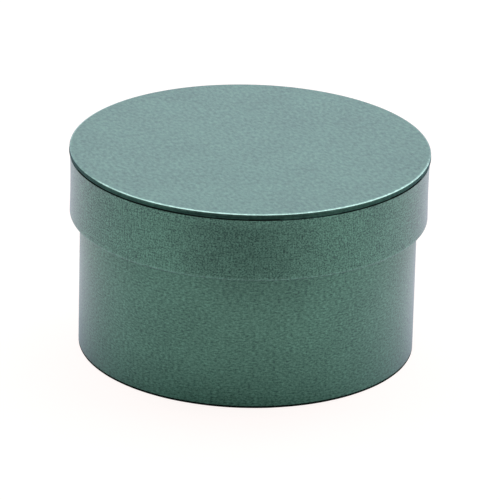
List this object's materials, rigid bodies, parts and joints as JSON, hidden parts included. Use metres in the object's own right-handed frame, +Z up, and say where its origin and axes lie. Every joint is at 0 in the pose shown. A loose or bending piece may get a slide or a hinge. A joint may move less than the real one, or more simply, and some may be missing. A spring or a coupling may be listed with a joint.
{
  "type": "flower box",
  "caption": "Round rigid paperboard flower box with a straight base and an overlapping lift-off lid, covered in pearl green paper, for packing and giving flowers.",
  "frame": {"origin": "centre of the underside, on the surface that the box stands on", "axes": "+Z up along the axis of the box, the way the lid lifts; the seams of the paper are at the back, towards +Y"},
  "size_m": [0.16, 0.16, 0.093],
  "materials": {
    "pearl_paper": "satin",
    "lining_paper": "matte",
    "greyboard": "matte",
    "kraft_tape": "matte"
  },
  "bodies": {
    "base": {"base_wall": "greyboard", "base_wall_tape": "kraft_tape", "base_bottom_board": "greyboard", "base_cover_paper": "pearl_paper", "base_foot_paper": "pearl_paper", "base_wall_lining": "lining_paper", "base_floor_lining": "lining_paper"},
    "lid": {"lid_collar": "greyboard", "lid_collar_tape": "kraft_tape", "lid_inner_board": "greyboard", "lid_collar_cover_paper": "pearl_paper", "lid_top_board": "greyboard", "lid_top_cover_paper": "pearl_paper", "lid_collar_lining": "lining_paper", "lid_inner_lining": "lining_paper"}
  },
  "joints": [
    {"name": "lid_lift", "type": "slide", "parent": "base", "child": "lid", "axis": [0, 0, 1], "range_m": [0, 0.1]}
  ]
}
